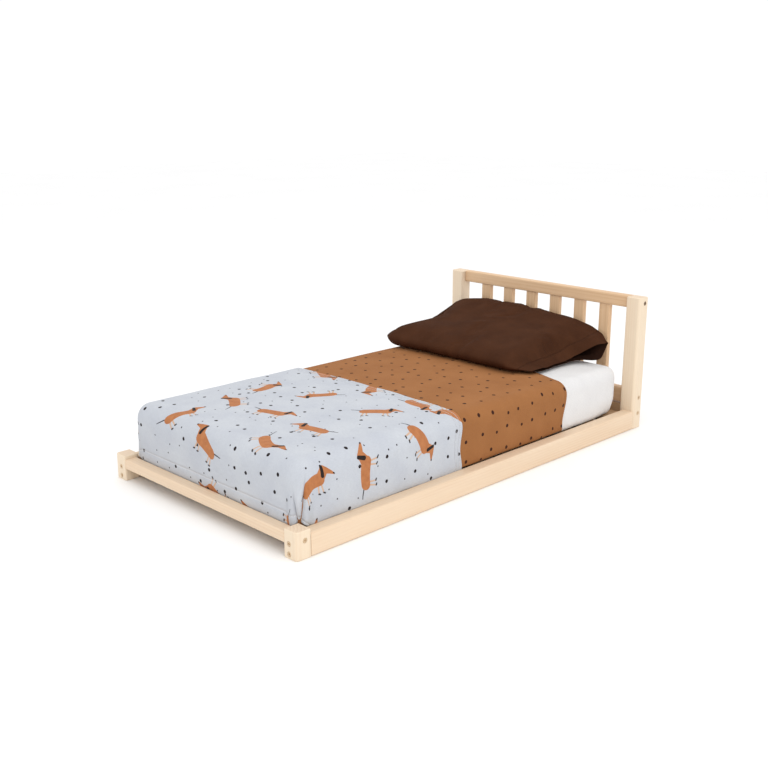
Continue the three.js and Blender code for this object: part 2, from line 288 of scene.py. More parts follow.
def wood(name, axis, seed, light, dark, contrast):
    """Planed pine: growth rings round a pith that runs along the piece, fine fibres, and end grain."""
    rng = random.Random(seed)
    g = Graph(name)
    place = [rng.uniform(-4, 4) for _ in range(3)]
    where = g.mapping(g.coords("Object"), move=place)
    stretched = g.mapping(where, scale=stretched_scale(axis, 1.0, GRAIN_STRETCH))
    waves = g.node("ShaderNodeTexNoise", {"Vector": stretched, "Scale": 9.0, "Detail": 2.0})
    wander = g.vector("SUBTRACT", waves.outputs["Color"], (0.5, 0.5, 0.5))
    bent = g.vector("ADD", g.coords("Object"), g.scaled(wander, GRAIN_WANDER))
    parts = g.split(bent)
    across = [i for i in range(3) if i != AXES[axis]]
    node_low, node_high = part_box(name.replace("wood_", ""))
    middle = (node_low + node_high) / 2
    pith = [middle[i] + rng.choice([-1, 1]) * rng.uniform(*PITH_AWAY) for i in across]
    square = [g.math("POWER", g.math("SUBTRACT", parts[i], pith[k]), 2.0) for k, i in enumerate(across)]
    radius = g.math("SQRT", g.math("ADD", square[0], square[1]))
    ring = g.math("FRACT", g.math("MULTIPLY", radius, rng.uniform(*RINGS_PER_METRE)))
    latewood = g.math("MULTIPLY", g.span(ring, 0.45, 0.93, smooth=True), g.span(ring, 1.0, 0.93))
    fibre = g.noise(g.mapping(where, scale=stretched_scale(axis, 260.0, 7.0)), 1.0, 3, 0.6)
    cloud = g.noise(g.mapping(where, scale=stretched_scale(axis, 17.0, 2.2)), 1.0, 2)
    tint = rng.uniform(-0.06, 0.06)
    strength = g.math("MULTIPLY", latewood, g.span(cloud, 0.36, 0.66, 0.04 * contrast, 0.58 * contrast))
    base = g.mix(strength, light, dark)
    base = g.mix(g.span(fibre, 0.35, 0.75, 0.0, 0.26 * contrast), base, dark)
    base = g.mix(g.span(cloud, 0.35, 0.75, 0.0, 0.16 + tint), base, dark)
    normal_axis = g.split(g.coords("Normal"))[AXES[axis]]
    end_grain = g.span(g.math("ABSOLUTE", normal_axis), 0.75, 0.95)
    pores = g.noise(g.coords("Object"), 1400.0, 2)
    end_light, end_dark, end_pore = END_GRAIN
    end_colour = g.mix(g.span(ring, 0.4, 0.95, 0.0, 0.34), end_light, end_dark)
    end_colour = g.mix(g.span(pores, 0.45, 0.65, 0.0, 0.3), end_colour, end_pore)
    colour = g.mix(end_grain, base, end_colour)
    height = g.math("ADD", g.math("MULTIPLY", fibre, 0.6), g.math("MULTIPLY", latewood, 0.4))
    g.surface(color=colour, roughness=g.span(fibre, 0.3, 0.7, 0.50, 0.66), normal=g.bump(height, 0.00025),
              coat_weight=0.06, coat_roughness=0.4)
    return g.material


def plated(name, light, dark):
    """Plated steel, dull and a little scuffed."""
    g = Graph(name)
    scuff = g.noise(g.coords("Object"), 900.0, 3, 0.6)
    colour = g.ramp(scuff, [(0.35, dark), (0.7, light)])
    g.surface(color=colour, roughness=g.span(scuff, 0.3, 0.7, 0.35, 0.6), metallic=0.6,
              normal=g.bump(scuff, 0.0001))
    return g.material


def weave_height(g, cloth, pitch):
    """Over-and-under threads with the given pitch, in metres."""
    turns = math.pi / pitch
    u, v = g.split(cloth)[:2]
    warp = g.math("SINE", g.math("MULTIPLY", u, turns))
    weft = g.math("SINE", g.math("MULTIPLY", v, turns))
    return g.math("MULTIPLY", warp, weft)


def stitch_mask(g, hems, offsets, width=0.0011, pitch=0.0042):
    """1 on the dashes of a stitched line at each distance from the cloth's edge."""
    edge, along = g.split(hems)[:2]
    dashes = g.math("GREATER_THAN", g.math("FRACT", g.math("DIVIDE", along, pitch)), 0.28)
    total = None
    for offset in offsets:
        line = g.math("LESS_THAN", g.math("ABSOLUTE", g.math("SUBTRACT", edge, offset)), width)
        total = line if total is None else g.math("MAXIMUM", total, line)
    return g.math("MULTIPLY", total, dashes)


def fabric(name, colour_of, pitch=0.0011, stitches=(), roughness=0.9, sheen=0.03, fuzz=0.0002,
           thread=(0.30, 0.31, 0.34), gloss=0.15):
    """Woven cloth. colour_of(graph, cloth coordinates) gives its dyed or printed colour."""
    g = Graph(name)
    cloth = g.uv("cloth")
    colour = colour_of(g, cloth)
    slub = g.noise(g.mapping(cloth, scale=(900, 120, 1)), 1.0, 2)
    colour = g.mix(g.span(slub, 0.3, 0.7, 0.0, 0.10), colour, (0.05, 0.05, 0.06))
    height = g.math("MULTIPLY", weave_height(g, cloth, pitch), 0.5)
    height = g.math("ADD", height, g.math("MULTIPLY", g.noise(cloth, 1 / 0.0016, 3, 0.7), 1.2))
    normal = g.bump(height, fuzz)
    soft = g.noise(g.mapping(cloth, scale=(1, 1, 1)), 55.0, 3)
    normal = g.bump(soft, 0.0016, normal)
    if stitches:
        hems = g.uv("hems")
        dashes = stitch_mask(g, hems, stitches)
        colour = g.mix(g.math("MULTIPLY", dashes, 0.5), colour, thread)
        edge = g.split(hems)[0]
        groove = g.math("MULTIPLY", stitch_groove(g, edge, stitches), -1.0)
        normal = g.bump(groove, 0.0018, normal)
    g.surface(color=colour, roughness=roughness, normal=normal, sheen_weight=sheen, sheen_roughness=0.5,
              specular_ior_level=gloss)
    return g.material


def stitch_groove(g, edge, offsets):
    total = None
    for offset in offsets:
        away = g.math("ABSOLUTE", g.math("SUBTRACT", edge, offset))
        dip = g.span(away, 0.0, 0.004, 1.0, 0.0, smooth=True)
        total = dip if total is None else g.math("MAXIMUM", total, dip)
    return total


def plain_dye(light, dark):
    def colour_of(g, cloth):
        return g.mix(g.span(g.noise(cloth, 14.0, 3), 0.3, 0.7), light, dark)
    return colour_of


def capsule(g, at, start, end, start_radius, end_radius):
    """1 inside a tapered stroke from start to end, in the print's own plane."""
    reach = (end[0] - start[0], end[1] - start[1], 0)
    square = reach[0] ** 2 + reach[1] ** 2
    away = g.vector("SUBTRACT", at, (*start, 0))
    share = g.math("MULTIPLY", g.vector("DOT_PRODUCT", away, reach), 1 / square, clamp=True)
    gap = g.vector("DISTANCE", away, g.vector("MULTIPLY", g.join(share, share, 0.0), reach))
    radius = g.math("MULTIPLY_ADD", share, end_radius - start_radius, start_radius)
    return g.math("LESS_THAN", gap, radius)


def any_of(g, masks):
    total = masks[0]
    for mask in masks[1:]:
        total = g.math("MAXIMUM", total, mask)
    return total


def cell_frame(g, cloth, cell, randomness):
    """The nearest motif's own coordinates, in metres, turned, bent and mirrored at random."""
    found = g.voronoi(g.scaled(cloth, 1 / cell), randomness)
    local = g.scaled(g.vector("SUBTRACT", g.scaled(cloth, 1 / cell), found["Position"]), cell)
    chance = g.split(found["Color"])
    angle = g.math("MULTIPLY", chance[0], 2 * math.pi)
    turned = g.node("ShaderNodeVectorRotate", {"Vector": local, "Angle": angle},
                    rotation_type="Z_AXIS").outputs[0]
    x, y = g.split(turned)[:2]
    flip = g.math("SIGN", g.math("SUBTRACT", chance[1], 0.5))
    bow = g.math("MULTIPLY", g.math("SUBTRACT", chance[2], 0.5), 9.0)
    bent = g.math("ADD", y, g.math("MULTIPLY", g.math("MULTIPLY", x, x), bow))
    return g.join(g.math("MULTIPLY", x, flip), bent, 0.0)


def dotted(g, cloth, cell, randomness, small, large, share_large):
    """1 on scattered round dots of two sizes."""
    found = g.voronoi(g.scaled(cloth, 1 / cell), randomness)
    big = g.math("LESS_THAN", g.split(found["Color"])[0], share_large)
    radius = g.math("MULTIPLY_ADD", big, (large - small) / cell, small / cell)
    rough = g.math("MULTIPLY", g.math("SUBTRACT", g.noise(cloth, 420.0, 1), 0.5), 0.0012 / cell)
    return g.math("LESS_THAN", g.math("ADD", found["Distance"], rough), radius)


INK = (0.018, 0.011, 0.012)
DOG_CELL = 0.182
DOG_LOOSE = 0.45
DOG_MOVE = (0.045, 0.03, 0)
# Strokes as (start, end, start radius, end radius), in metres from the middle of the dog
DOG_BODY = [
    ((-0.032, 0.0), (0.024, 0.001), 0.0150, 0.0160),
    ((0.026, 0.003), (0.043, 0.020), 0.0135, 0.0100),
    ((0.043, 0.022), (0.070, 0.014), 0.0098, 0.0030),
]
DOG_TAIL = ((-0.042, 0.008), (-0.068, 0.020), 0.0021, 0.0012)
DOG_EAR = ((0.040, 0.029), (0.036, 0.008), 0.0040, 0.0050)
DOG_NOSE = ((0.0705, 0.0145), (0.0720, 0.0140), 0.0024, 0.0020)
DOG_LEGS = [(-0.034, -0.006), (-0.027, 0.000), (0.019, -0.003), (0.027, 0.004)]
DOG_FEET = (-0.040, -0.027, 0.016, 0.031)


def dog_print(g, cloth):
    """A grey-blue ground scattered with dots and simple long-bodied dogs."""
    ground = g.mix(g.span(g.noise(cloth, 11.0, 3), 0.3, 0.7), (0.585, 0.61, 0.65), (0.52, 0.545, 0.60))
    dots = dotted(g, cloth, 0.053, 0.85, 0.0021, 0.0048, 0.42)
    colour = g.mix(dots, ground, INK)
    at = cell_frame(g, g.mapping(cloth, move=DOG_MOVE), DOG_CELL, DOG_LOOSE)
    legs = [capsule(g, at, (x, -0.008), (x + lean, -0.036), 0.0026, 0.0018)
            for x, lean in DOG_LEGS]
    feet = [capsule(g, at, (x, -0.035), (x + 0.004, -0.037), 0.0024, 0.0022)
            for x in DOG_FEET]
    tail = capsule(g, at, *DOG_TAIL)
    body = any_of(g, [capsule(g, at, *stroke) for stroke in DOG_BODY])
    ear = capsule(g, at, *DOG_EAR)
    nose = capsule(g, at, *DOG_NOSE)
    coat = g.mix(g.span(g.noise(cloth, 60.0, 2), 0.3, 0.7), (0.52, 0.205, 0.078), (0.43, 0.16, 0.06))
    colour = g.mix(any_of(g, legs), colour, (0.62, 0.42, 0.30))
    colour = g.mix(any_of(g, [*feet, tail]), colour, (0.05, 0.045, 0.05))
    colour = g.mix(body, colour, coat)
    return g.mix(any_of(g, [ear, nose]), colour, (0.022, 0.014, 0.012))


def ochre_dots(g, cloth):
    """An ochre-brown ground with small dark dots in loose rows."""
    ground = g.mix(g.span(g.noise(cloth, 9.0, 3), 0.3, 0.7), (0.375, 0.158, 0.054), (0.325, 0.132, 0.043))
    dots = dotted(g, cloth, 0.057, 0.42, 0.0045, 0.0053, 0.5)
    return g.mix(dots, ground, (0.045, 0.013, 0.006))


# ---- bedding laid over the mattress ----

MATTRESS_LOW, MATTRESS_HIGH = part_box("mattress")
BED = {
    "half": 0.3445,
    "foot": MATTRESS_LOW.y + 0.004,
    "head": MATTRESS_HIGH.y + 0.004,
    "top": MATTRESS_HIGH.z - 0.001,
    "bottom": MATTRESS_LOW.z,
    "corner": 0.034,
    "edge": 0.030,
    "crown": 0.006,
}
CORNER_STEPS = 34
ACROSS_STEPS = 46
MORPH_STEPS = 8
FILLET_STEPS = 6
FALL_STEPS = 12
ROW_PITCH = 0.014
ROW_AFTER_EDGE = 0.010
EDGE_STRAYS = 0.16
FAR_FROM_EDGE = 9


class Drape:
    """A layer over the mattress: a top grid whose ends turn down round the corners into a skirt.

    Rows run from the head to the foot, and columns from the right side to the left.
    """

    def __init__(self, offset, hem, head_edge=None, row_starts=(), bottom_cap=False, hem_scale=1.0,
                 side_hem=0.0, hem_floor=0.0):
        self.offset = offset
        self.hem_scale = hem_scale
        self.side_hem = side_hem
        self.hem_floor = hem_floor
        self.half = BED["half"] + offset
        self.foot = BED["foot"] - offset
        self.head = head_edge if head_edge is not None else BED["head"] + offset
        self.round_head = head_edge is None
        self.fillet = BED["edge"] + offset
        self.corner = BED["corner"] + offset
        self.top = BED["top"] + offset
        self.hem = hem
        self.row_starts = list(row_starts)
        self.bottom_cap = bottom_cap

    def end_curve(self, y_end, facing):
        """Points and outward directions along the inner edge of a rounded end, right to left."""
        inner = max(self.corner - self.fillet, 0.004)
        centre_x = self.half - self.fillet - inner
        centre_y = y_end - facing * (self.fillet + inner)
        points, ways = [], []
        for i in range(CORNER_STEPS + 1):
            angle = facing * math.pi / 2 * i / CORNER_STEPS
            way = (math.cos(angle), math.sin(angle))
            points.append((centre_x + inner * way[0], centre_y + inner * way[1]))
            ways.append(way)
        for i in range(1, ACROSS_STEPS):
            points.append((centre_x * (1 - 2 * i / ACROSS_STEPS), centre_y + facing * inner))
            ways.append((0.0, float(facing)))
        for i in range(CORNER_STEPS + 1):
            angle = facing * math.pi / 2 * (1 + i / CORNER_STEPS)
            way = (math.cos(angle), math.sin(angle))
            points.append((-centre_x + inner * way[0], centre_y + inner * way[1]))
            ways.append(way)
        return points, ways, centre_y

    def rows(self):
        foot_curve, foot_ways, foot_line = self.end_curve(self.foot, -1)
        columns = [p[0] for p in foot_curve]
        rows = []
        if self.round_head:
            head_curve, head_ways, head_line = self.end_curve(self.head, 1)
            for i in range(MORPH_STEPS):
                t = 1 - i / MORPH_STEPS
                rows.append([(x, head_line + t * (p[1] - head_line)) for x, p in zip(columns, head_curve)])
            start = head_line
        else:
            head_ways = None
            start = self.head
            for d in self.row_starts:
                rows.append([(x, self.head - d) for x in columns])
                start = self.head - d
            start -= ROW_AFTER_EDGE if self.row_starts else 0
        count = max(int((start - foot_line) / ROW_PITCH), 2)
        self.first_straight = len(rows)
        for i in range(count + 1):
            y = start + (foot_line - start) * i / count
            rows.append([(x, y) for x in columns])
        self.last_straight = len(rows) - 1
        for i in range(1, MORPH_STEPS + 1):
            t = i / MORPH_STEPS
            rows.append([(x, foot_line + t * (p[1] - foot_line)) for x, p in zip(columns, foot_curve)])
        self.foot_ways = foot_ways
        self.head_ways = head_ways
        return rows

    def rim(self, rows):
        """The (row, column, outward direction) of every point that the skirt hangs from."""
        last_column = len(rows[0]) - 1
        first = self.first_straight if self.round_head else 0
        path = [(r, 0, (1.0, 0.0)) for r in range(first, self.last_straight)]
        path += [(len(rows) - 1, c, way) for c, way in enumerate(self.foot_ways)]
        path += [(r, last_column, (-1.0, 0.0)) for r in range(self.last_straight - 1, first - 1, -1)]
        if self.round_head:
            ways = list(enumerate(self.head_ways))[::-1]
            path += [(0, c, way) for c, way in ways]
        return path

    def profile(self, hem):
        """(outward, down, angle, cloth length) from the skirt's top to its hem."""
        steps = []
        for i in range(1, FILLET_STEPS + 1):
            angle = math.pi / 2 * i / FILLET_STEPS
            out = self.fillet * math.sin(angle)
            down = self.fillet * (1 - math.cos(angle))
            steps.append((out, down, angle, self.fillet * angle))
        fall = self.top - self.fillet - hem
        for i in range(1, FALL_STEPS + 1):
            d = fall * i / FALL_STEPS
            steps.append((self.fillet, self.fillet + d, math.pi / 2, self.fillet * math.pi / 2 + d))
        return steps

    def crown(self, x, y):
        middle = (BED["head"] + BED["foot"]) / 2
        reach = (BED["head"] - BED["foot"]) / 2
        across = max(1 - (x / BED["half"]) ** 2, 0)
        along = max(1 - ((y - middle) / reach) ** 2, 0)
        return BED["crown"] * across ** 0.7 * along ** 0.5

    def strays(self, y):
        """How much a point follows the wandering of a straight head edge: 1 at the edge, 0 further down."""
        return 0 if self.round_head else 1 - smoothstep(0.0, EDGE_STRAYS, self.head - y)

    def build(self, name, shift=None, hem_shift=None, ripple=None):
        """shift(x, down) moves the head edge, hem_shift(way, x, y) lifts the hem, and
        ripple(x, y, z, out, u, v, down) pushes a point outwards."""
        rows = self.rows()
        bm = bmesh.new()
        cloth = {}
        hems = {}

        def add(x, y, z, out, u, v, edge, along, down):
            moved = Vector((x, y, z))
            if ripple:
                moved += out * ripple(x, y, z, out, u, v, down)
            vertex = bm.verts.new(moved)
            cloth[vertex] = (u, v)
            hems[vertex] = (edge, along)
            return vertex

        up = Vector((0, 0, 1))
        grid = []
        for row in rows:
            line = []
            for x, y in row:
                fade = self.strays(y)
                moved_y = y + (shift(x, 0.0) * fade if shift else 0)
                z = self.top + self.crown(x, moved_y)
                line.append(add(x, moved_y, z, up, x, self.head - y, self.head - y, x, 0.0))
            grid.append(line)
        for r in range(len(rows) - 1):
            for c in range(len(rows[0]) - 1):
                bm.faces.new((grid[r][c], grid[r + 1][c], grid[r + 1][c + 1], grid[r][c + 1]))
        rim = self.rim(rows)
        walked = 0.0
        last_point = None
        strips = []
        for r, c, way in rim:
            x, y = rows[r][c]
            at_wall = (x + way[0] * self.fillet, y + way[1] * self.fillet)
            if last_point:
                walked += math.dist(at_wall, last_point)
            last_point = at_wall
            fade = self.strays(y)
            hem = self.hem + (hem_shift(way, *at_wall) if hem_shift else 0)
            strip = [grid[r][c]]
            total = self.fillet * math.pi / 2 + self.top - self.fillet - hem
            base_z = self.top + self.crown(x, y)
            for out, down, angle, length in self.profile(hem):
                moved_y = y + way[1] * out + (shift(x, down) * fade if shift else 0)
                outwards = Vector((way[0] * math.sin(angle), way[1] * math.sin(angle), math.cos(angle)))
                z = base_z - down - self.crown(x, y) * smoothstep(0, self.fillet, down)
                rise = (total - length) * self.hem_scale + self.side_hem * abs(way[0])
                edge = min(max(rise, self.hem_floor), FAR_FROM_EDGE if self.round_head else self.head - y)
                nearer_hem = self.round_head or total - length < self.head - y
                along = walked if nearer_hem else length
                strip.append(add(x + way[0] * out, moved_y, z, outwards, x + way[0] * length,
                                 self.head - y - way[1] * length, edge, along, down))
            strips.append(strip)
        if self.round_head:
            strips.append(strips[0])
        for left, right in zip(strips, strips[1:]):
            for k in range(len(left) - 1):
                corners = [left[k], left[k + 1], right[k + 1], right[k]]
                unique = list(dict.fromkeys(corners))
                if len(unique) > 2:
                    bm.faces.new(unique)
        cloth_layer = bm.loops.layers.uv.new("cloth")
        hem_layer = bm.loops.layers.uv.new("hems")
        for face in bm.faces:
            for loop in face.loops:
                loop[cloth_layer].uv = cloth[loop.vert]
                loop[hem_layer].uv = hems[loop.vert]
        if self.bottom_cap:
            rim_edges = [e for e in bm.edges if e.is_boundary]
            bmesh.ops.holes_fill(bm, edges=rim_edges, sides=0)
        bmesh.ops.remove_doubles(bm, verts=bm.verts, dist=1e-5)
        bmesh.ops.recalc_face_normals(bm, faces=bm.faces)
        top_face = max(bm.faces, key=lambda f: f.calc_center_median().z)
        if top_face.normal.z < 0:
            bmesh.ops.reverse_faces(bm, faces=bm.faces)
        piece = link_mesh(name, bm)
        shade_smooth(piece)
        return piece


# How far the layers draw in low down, in metres: (depth, height of its lower end, height of its upper end)
HEAD_TUCK = (0.0115, 0.052, 0.112)
RAIL_TUCK = (0.0075, 0.052, 0.066)
HEAD_TUCK_REACH = 0.08


def tucked_at(z, tuck):
    depth, low, high = tuck
    return depth * (1 - smoothstep(low, high, z))


def soft_lumps(x, y, z, seed=1.0):
    """Broad unevenness shared by every layer, which draws in towards the rails at the bottom."""
    corner = Vector((abs(x) - BED["half"] + 0.02, y - BED["head"] + 0.02))
    near_head = math.exp(-(corner.length / HEAD_TUCK_REACH) ** 2)
    tuck = near_head * tucked_at(z, HEAD_TUCK) + tucked_at(z, RAIL_TUCK)
    return 0.0012 * bump_at(x, y, z, 0.22, seed) - tuck


def make_mattress():
    drape = Drape(0.0, BED["bottom"] + 0.012, bottom_cap=True)
    piece = drape.build("mattress_foam", ripple=lambda x, y, z, out, u, v, d: soft_lumps(x, y, z))
    ticking = plain_dye((0.84, 0.84, 0.82), (0.78, 0.78, 0.76))
    piece.data.materials.append(fabric("ticking", ticking, 0.0016))
    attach(piece, "mattress")
    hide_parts("mattress")


def sheet_ripple(x, y, z, out, u, v, down):
    lumps = soft_lumps(x, y, z)
    low = smoothstep(0.05, 0.14, down)
    puckers = 0.0018 * low * (0.5 + 0.5 * bump_at(x * 3, y * 3, z * 0.35, 0.055, 3.0))
    pulls = 0.0008 * bump_at(x, y, z * 0.5, 0.06, 8.0)
    return lumps + puckers + pulls


def make_fitted_sheet():
    drape = Drape(0.0012, BED["bottom"] + 0.006, hem_floor=0.017)
    piece = drape.build("fitted_sheet_cloth", ripple=sheet_ripple)
    add_modifier(piece, "SOLIDIFY", thickness=0.0008, offset=1.0)
    add_modifier(piece, "SUBSURF", levels=1, render_levels=1)
    white = plain_dye((0.80, 0.79, 0.785), (0.76, 0.75, 0.75))
    piece.data.materials.append(fabric("white_cotton_weave", white, 0.0009, stitches=(0.014,),
                                       thread=(0.62, 0.61, 0.61)))
    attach(piece, "mattress")
    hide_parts("fitted_sheet")


def cover_edge(x, down):
    """How far the cover's head edge strays: it drops back at the sides and waves a little."""
    side = smoothstep(0.20, 0.34, abs(x))
    wave = 0.006 * bump_at(x, down, 0, 0.16, 5.0)
    return -0.026 * side + wave + 0.010 * math.sin(down * 38) * side


def cover_ripple(x, y, z, out, u, v, down):
    side = smoothstep(0.02, 0.10, down)
    folds = 0.0016 * side * bump_at(u, v, z * 0.4, 0.075, 11.0)
    flat = 0.0007 * bump_at(x, y, z, 0.09, 4.0)
    return soft_lumps(x, y, z) + 0.0012 + folds + flat


def make_cover():
    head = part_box("bed_cover")[1].y
    drape = Drape(0.0034, BED["bottom"] + 0.010, head_edge=head, row_starts=(0.0, 0.003, 0.008, 0.014),
                  hem_floor=0.017)
    piece = drape.build("bed_cover_cloth", shift=cover_edge, ripple=cover_ripple)
    add_modifier(piece, "SOLIDIFY", thickness=0.0018, offset=1.0)
    add_modifier(piece, "SUBSURF", levels=1, render_levels=1)
    piece.data.materials.append(fabric("ochre_cotton_weave", ochre_dots, 0.0010, stitches=(0.010,),
                                       sheen=0.01, thread=(0.33, 0.130, 0.045)))
    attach(piece, "mattress")
    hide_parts("bed_cover")


def blanket_edge(x, down):
    side = smoothstep(0.24, 0.34, abs(x))
    wave = 0.006 * bump_at(x, down, 0, 0.12, 2.0)
    return -0.010 * side + wave + 0.007 * math.sin(down * 42 + 1.0) * side


# Each pleat: its place round the corner in radians, and its depth and height in metres
PLEATS = [(0.60, 0.0115, 0.150), (1.02, 0.0100, 0.100)]
PLEATS_MEET = 0.80
PLEATS_LEFT_TURN = 0.13
RIDGE_SHARE = 0.32
RIDGE_AWAY = 0.0105
RIDGE_WIDTH = 0.0075


def corner_angle(x, y):
    """Where a point lies round its foot corner: 0 faces the side, and a quarter turn faces the foot."""
    inner = BED["corner"]
    dx = abs(x) - (BED["half"] - inner)
    dy = (BED["foot"] + inner) - y
    return math.atan2(dy, dx) if dx > 0 and dy > 0 else None


def pleats_at(x, y, down, drop):
    """Narrow folds gathered at the foot corners, which run together towards the hem."""
    angle = corner_angle(x, y)
    if angle is None:
        return 0.0
    mirror = angle if x > 0 else angle + PLEATS_LEFT_TURN
    total = 0.0
    for place, depth, height in PLEATS:
        grown = smoothstep(drop - height, drop - 0.25 * height, down)
        lean_in = PLEATS_MEET + (place - PLEATS_MEET) * (2.2 - 1.9 * down / drop)
        off = (mirror - lean_in) * (BED["corner"] + 0.006)
        width = 0.0022 + 0.0022 * grown
        total -= depth * grown * math.exp(-(off / width) ** 2)
        for away in (-RIDGE_AWAY, RIDGE_AWAY):
            total += RIDGE_SHARE * depth * grown * math.exp(-((off + away) / RIDGE_WIDTH) ** 2)
    return total


def blanket_ripple(x, y, z, out, u, v, down):
    side = smoothstep(0.015, 0.10, down)
    folds = 0.0020 * side * bump_at(u * 1.6, v * 1.6, z * 0.5, 0.12, 7.0)
    creases = 0.0012 * side * abs(bump_at(u * 1.5 + 0.5 * z, v * 1.5, z * 0.6, 0.06, 17.0))
    top_soft = 0.0016 * bump_at(x, y, z, 0.13, 6.0) + 0.0008 * bump_at(x, y, z, 0.05, 14.0)
    gathered = pleats_at(x, y, down, BED["top"] - BED["bottom"])
    return soft_lumps(x, y, z) + 0.0030 + folds - creases + top_soft + gathered


def blanket_hem(way, x, y):
    angle = corner_angle(x, y)
    return 0.0 if angle is None else 0.016 * math.sin(2 * angle) ** 2


def make_blanket():
    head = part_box("blanket")[1].y
    drape = Drape(0.0066, BED["bottom"] + 0.002, head_edge=head,
                  row_starts=(0.0, 0.003, 0.007, 0.010, 0.013, 0.020, 0.024, 0.028, 0.036), hem_scale=0.63,
                  side_hem=0.022, hem_floor=0.017)
    piece = drape.build("blanket_cloth", shift=blanket_edge, hem_shift=blanket_hem, ripple=blanket_ripple)
    add_modifier(piece, "SOLIDIFY", thickness=0.0030, offset=1.0)
    add_modifier(piece, "SUBSURF", levels=1, render_levels=1)
    piece.data.materials.append(fabric("printed_fleece", dog_print, 0.0014, stitches=(0.010, 0.024),
                                       sheen=0.05, fuzz=0.0003, thread=(0.72, 0.73, 0.76)))
    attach(piece, "mattress")
    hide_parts("blanket")


# ---- pillow ----

PILLOW_LOW, PILLOW_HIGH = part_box("pillow")
PILLOW = {
    "flat_long": 0.700,
    "flat_deep": 0.470,
    "depth": 0.418,
    "front": PILLOW_LOW.y - 0.010,
    "left": PILLOW_LOW.x - 0.006,
    "right": PILLOW_HIGH.x - 0.023,
    "half": 0.056,
    "seam": 0.026,
    "folds": 1.0,
    "slope": math.radians(33),
    "wall": PILLOW_HIGH.y + 0.001,
    "rest": BED["top"] + BED["crown"] + 0.0065,
}
PILLOW_GAP = 0.008
FILLING_WIDTH = 0.92
FILLING_INSET = 0.005
FILLING_SHORT = 11
CASE_STITCHES = 0.045
PILLOW_STATIONS = 92
PILLOW_AROUND = 116
PILLOW_FRAMES = 36
SLACK_FROM_MOUTH = (0.12, 0.03)
PILLOW_CLOTH = {
    "quality": 5,
    "mass": 0.25,
    "tension_stiffness": 25,
    "compression_stiffness": 25,
    "shear_stiffness": 8,
    "bending_stiffness": 0.15,
    "use_pressure": True,
    "uniform_pressure_force": 6,
    "vertex_group_pressure": "filled",
}


def tube_faces(stations, around):
    """Faces of a tube whose vertices run round each station in turn."""
    faces = []
    for i in range(stations - 1):
        for j in range(around):
            k = (j + 1) % around
            faces.append((i * around + j, (i + 1) * around + j, (i + 1) * around + k, i * around + k))
    return faces


def flat_envelope():
    """The pillowcase before it is filled: two layers that meet along the front, the back and the left."""
    points = np.zeros((PILLOW_STATIONS, PILLOW_AROUND, 3))
    for i in range(PILLOW_STATIONS):
        u = i / (PILLOW_STATIONS - 1)
        rounding = 1 - max(0.0, 1 - u / 0.035) ** 2.5
        half = PILLOW["flat_deep"] / 2 * (0.93 + 0.07 * rounding)
        for j in range(PILLOW_AROUND):
            turn = 4 * j / PILLOW_AROUND
            v = turn - 1 if turn < 2 else 3 - turn
            side = 1 if turn < 2 else -1
            lens = math.sqrt(max(1 - v * v, 0)) * min(1, math.sqrt(u * 8 + 0.001))
            points[i, j] = (u * PILLOW["flat_long"], v * half, side * 0.012 * lens)
    return points


def inflate(points):
    """Fills the envelope with air pressure as simulated cloth. The flap at the open end stays slack."""
    mesh = bpy.data.meshes.new("pillow_air")
    faces = tube_faces(PILLOW_STATIONS, PILLOW_AROUND)
    ring = range(PILLOW_AROUND)
    half = PILLOW_AROUND // 2
    faces += [(j, (j + 1) % PILLOW_AROUND, (PILLOW_AROUND - j - 1) % PILLOW_AROUND,
               (PILLOW_AROUND - j) % PILLOW_AROUND) for j in range(1, half - 1)]
    mesh.from_pydata([tuple(p) for p in points.reshape(-1, 3)], [], faces)
    mesh.update()
    piece = bpy.data.objects.new("pillow_air", mesh)
    scene.collection.objects.link(piece)
    filled = piece.vertex_groups.new(name="filled")
    for index, p in enumerate(points.reshape(-1, 3)):
        far, near = SLACK_FROM_MOUTH
        weight = 1 - smoothstep(PILLOW["flat_long"] - far, PILLOW["flat_long"] - near, p[0])
        filled.add([index], weight, "REPLACE")
    cloth = add_modifier(piece, "CLOTH")
    for key, value in PILLOW_CLOTH.items():
        setattr(cloth.settings, key, value)
    cloth.settings.effector_weights.gravity = 0
    cloth.point_cache.frame_start = 1
    cloth.point_cache.frame_end = PILLOW_FRAMES
    for step in range(1, PILLOW_FRAMES + 1):
        scene.frame_set(step)
    result = piece.evaluated_get(bpy.context.evaluated_depsgraph_get()).data
    moved = np.zeros(len(mesh.vertices) * 3)
    result.vertices.foreach_get("co", moved)
    bpy.data.objects.remove(piece)
    scene.frame_set(1)
    return moved.reshape(points.shape)


def smooth_step(values, low, high):
    t = np.clip((values - low) / (high - low), 0, 1)
    return t * t * (3 - 2 * t)


def blurred(points, along, passes):
    """Smooths a grid of points along its stations (axis 0), or round each of them (axis 1)."""
    for _ in range(passes):
        if along == 0:
            padded = np.concatenate([points[:1], points, points[-1:]])
            points = (padded[:-2] + 2 * padded[1:-1] + padded[2:]) / 4
        else:
            points = (np.roll(points, 1, 1) + 2 * points + np.roll(points, -1, 1)) / 4
    return points


def pillow_grid():
    """The grid's own coordinates: u from the left to the right end, v from front to back, and the layer."""
    u = np.linspace(0, 1, PILLOW_STATIONS)[:, None] * np.ones((1, PILLOW_AROUND))
    turn = 4 * np.arange(PILLOW_AROUND)[None, :] / PILLOW_AROUND * np.ones((PILLOW_STATIONS, 1))
    v = np.where(turn < 2, turn - 1, 3 - turn)
    return u, v, np.where(turn < 2, 1.0, -1.0)


